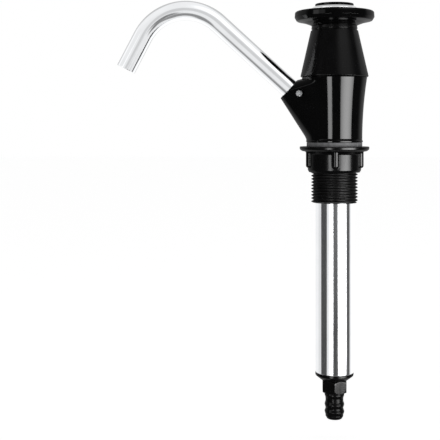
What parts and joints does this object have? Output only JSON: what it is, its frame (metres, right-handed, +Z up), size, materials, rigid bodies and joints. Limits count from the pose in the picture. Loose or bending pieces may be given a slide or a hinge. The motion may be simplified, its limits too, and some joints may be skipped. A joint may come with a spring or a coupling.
{
  "type": "hand water pump",
  "caption": "Lift-type hand pump for a worktop: mushroom handle, bent polished spout, threaded tail with clamping nut, long barrel and hose tail.",
  "frame": {"origin": "on the barrel's axis, in the plane where the gasket meets the worktop", "axes": "+Z up along the barrel towards the handle; the spout points along -X; the retaining screw faces -Y"},
  "size_m": [0.185, 0.0572, 0.3005],
  "materials": {
    "black_gloss": "glossy moulded black plastic",
    "black_tail": "black plastic, a little duller",
    "bright_ring": "plated trim",
    "polished_steel": "mirror-polished stainless tube",
    "plain_steel": "stainless fasteners and rod",
    "grey_rubber": "matt grey rubber",
    "black_rubber": "black nitrile rubber",
    "white_plastic": "natural acetal"
  },
  "bodies": {
    "body": {"pump_body": "black_gloss", "spout_tube": "polished_steel", "spout_seal": "black_rubber", "spout_screw": "plain_steel", "gland_cap": "black_tail", "gland_seal": "black_rubber", "rod_bush": "white_plastic", "rod_seal": "black_rubber", "barrel_tube": "polished_steel", "barrel_washer": "black_rubber", "inlet_cap": "black_tail", "inlet_seal": "black_rubber", "foot_valve_cage": "white_plastic"},
    "cup_seal": {"piston_seal": "black_rubber"},
    "handle": {"knob_disc": "black_gloss", "knob_ring": "bright_ring", "knob_cap": "black_gloss", "handle_skirt": "black_gloss", "handle_nut": "plain_steel", "handle_washer": "plain_steel", "piston_rod": "plain_steel", "valve_stop_washer": "plain_steel", "valve_spacer": "plain_steel", "piston": "white_plastic", "piston_washer": "plain_steel", "piston_nut": "plain_steel"},
    "valve_disc": {"piston_valve_disc": "black_rubber"},
    "foot_ball": {"foot_valve_ball": "plain_steel"},
    "gasket_ring": {"gasket": "grey_rubber"},
    "nut": {"flange_nut": "black_gloss"}
  },
  "joints": [
    {"name": "handle_lift", "type": "slide", "parent": "body", "child": "cup_seal", "axis": [0, 0, 1], "range_m": [0, 0.115]},
    {"name": "handle_turn", "type": "hinge", "parent": "cup_seal", "child": "handle", "pos_m": [0, 0, 0], "axis": [0, 0, 1], "continuous": true},
    {"name": "piston_valve_lift", "type": "slide", "parent": "handle", "child": "valve_disc", "axis": [0, 0, 1], "range_m": [0, 0.002]},
    {"name": "foot_valve_lift", "type": "slide", "parent": "body", "child": "foot_ball", "axis": [0, 0, 1], "range_m": [0, 0.003]},
    {"name": "nut_travel", "type": "slide", "parent": "body", "child": "gasket_ring", "axis": [0, 0, 1], "range_m": [-0.018, 0]},
    {"name": "nut_spin", "type": "hinge", "parent": "gasket_ring", "child": "nut", "pos_m": [0, 0, 0], "axis": [0, 0, 1], "range_deg": [-2800, 0]}
  ],
  "couplings": [
    {"joint": "nut_travel", "follows": "nut_spin", "m_per_rad": 0.00036749}
  ]
}
